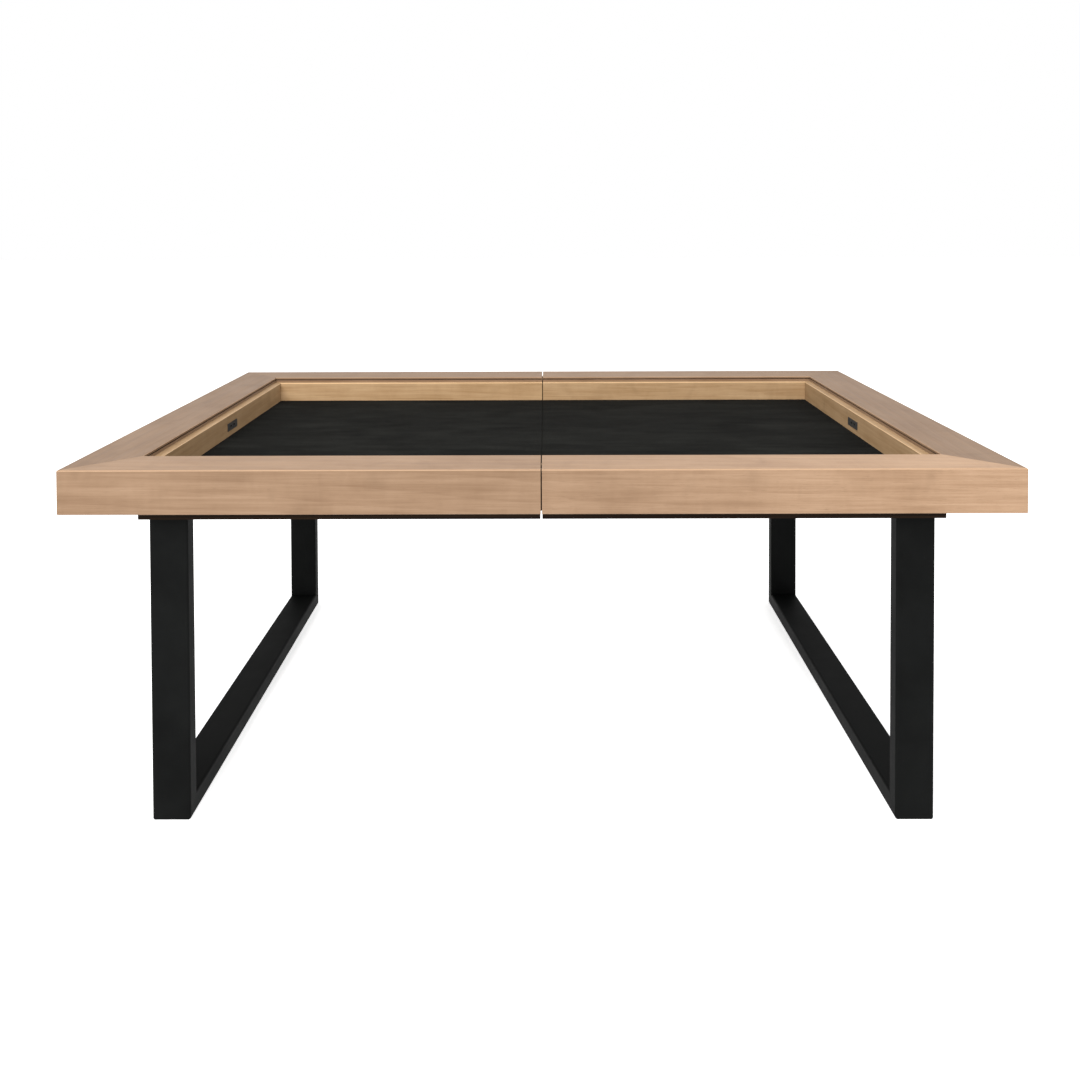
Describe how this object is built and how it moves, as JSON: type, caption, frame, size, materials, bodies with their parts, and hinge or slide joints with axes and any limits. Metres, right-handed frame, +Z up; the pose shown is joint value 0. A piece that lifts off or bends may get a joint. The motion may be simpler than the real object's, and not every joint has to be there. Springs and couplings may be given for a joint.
{
  "type": "gaming table",
  "caption": "Rectangular gaming table with a sunken cloth-lined play well in a wide wooden frame, on two U-shaped steel leg frames; its halves pull apart along telescopic slides.",
  "frame": {"origin": "on the floor under the centre of the table's outline", "axes": "+X along the table's length, towards the half that slides; +Y from front to back; +Z up"},
  "size_m": [1.955, 1.34, 0.75],
  "materials": {
    "frame_wood": "satin lacquered light hardwood, fine straight grain",
    "wall_wood": "satin lacquered light hardwood, slightly more golden",
    "cleat_wood": "plain planed hardwood",
    "stained_board": "dark brown stained board",
    "black_steel": "satin black powder coat",
    "zinc_steel": "zinc plated",
    "play_mat": "short black speed cloth on foam backing",
    "socket_plastic": "dark grey moulded plastic"
  },
  "bodies": {
    "left_half": {"left_front_rail": "frame_wood", "left_front_apron": "frame_wood", "left_front_inner_wall": "wall_wood", "left_back_rail": "frame_wood", "left_back_apron": "frame_wood", "left_back_inner_wall": "wall_wood", "left_end_rail": "frame_wood", "left_end_apron": "frame_wood", "left_end_inner_wall": "wall_wood", "left_well_floor": "stained_board", "left_play_mat": "play_mat", "left_under_board": "stained_board", "left_front_leg": "black_steel", "left_back_leg": "black_steel", "left_floor_runner": "black_steel", "left_leg_top_bar": "black_steel", "left_leg_bolt_1": "zinc_steel", "left_leg_bolt_2": "zinc_steel", "left_leg_bolt_3": "zinc_steel", "left_leg_bolt_4": "zinc_steel", "left_socket_bezel": "socket_plastic", "left_charging_module": "socket_plastic", "left_front_slide_cleat": "cleat_wood", "left_back_slide_cleat": "cleat_wood", "front_seam_dowel_1": "frame_wood", "front_seam_dowel_2": "frame_wood", "back_seam_dowel_1": "frame_wood", "back_seam_dowel_2": "frame_wood", "front_slide_outer": "zinc_steel", "back_slide_outer": "zinc_steel", "front_locating_block": "stained_board", "back_locating_block": "stained_board"},
    "right_half": {"right_front_rail": "frame_wood", "right_front_apron": "frame_wood", "right_front_inner_wall": "wall_wood", "right_back_rail": "frame_wood", "right_back_apron": "frame_wood", "right_back_inner_wall": "wall_wood", "right_end_rail": "frame_wood", "right_end_apron": "frame_wood", "right_end_inner_wall": "wall_wood", "right_well_floor": "stained_board", "right_play_mat": "play_mat", "right_under_board": "stained_board", "right_front_leg": "black_steel", "right_back_leg": "black_steel", "right_floor_runner": "black_steel", "right_leg_top_bar": "black_steel", "right_leg_bolt_1": "zinc_steel", "right_leg_bolt_2": "zinc_steel", "right_leg_bolt_3": "zinc_steel", "right_leg_bolt_4": "zinc_steel", "right_socket_bezel": "socket_plastic", "right_charging_module": "socket_plastic", "right_front_slide_cleat": "cleat_wood", "right_back_slide_cleat": "cleat_wood", "front_slide_inner": "zinc_steel", "back_slide_inner": "zinc_steel"},
    "front_slide_middle": {"front_slide_middle": "zinc_steel"},
    "back_slide_middle": {"back_slide_middle": "zinc_steel"}
  },
  "joints": [
    {"name": "halves_slide", "type": "slide", "parent": "left_half", "child": "right_half", "axis": [1, 0, 0], "range_m": [0, 0.45]},
    {"name": "front_slide_travel", "type": "slide", "parent": "left_half", "child": "front_slide_middle", "axis": [1, 0, 0], "range_m": [0, 0.225]},
    {"name": "back_slide_travel", "type": "slide", "parent": "left_half", "child": "back_slide_middle", "axis": [1, 0, 0], "range_m": [0, 0.225]}
  ],
  "couplings": [
    {"joint": "front_slide_travel", "follows": "halves_slide", "ratio": 0.5},
    {"joint": "back_slide_travel", "follows": "halves_slide", "ratio": 0.5}
  ]
}
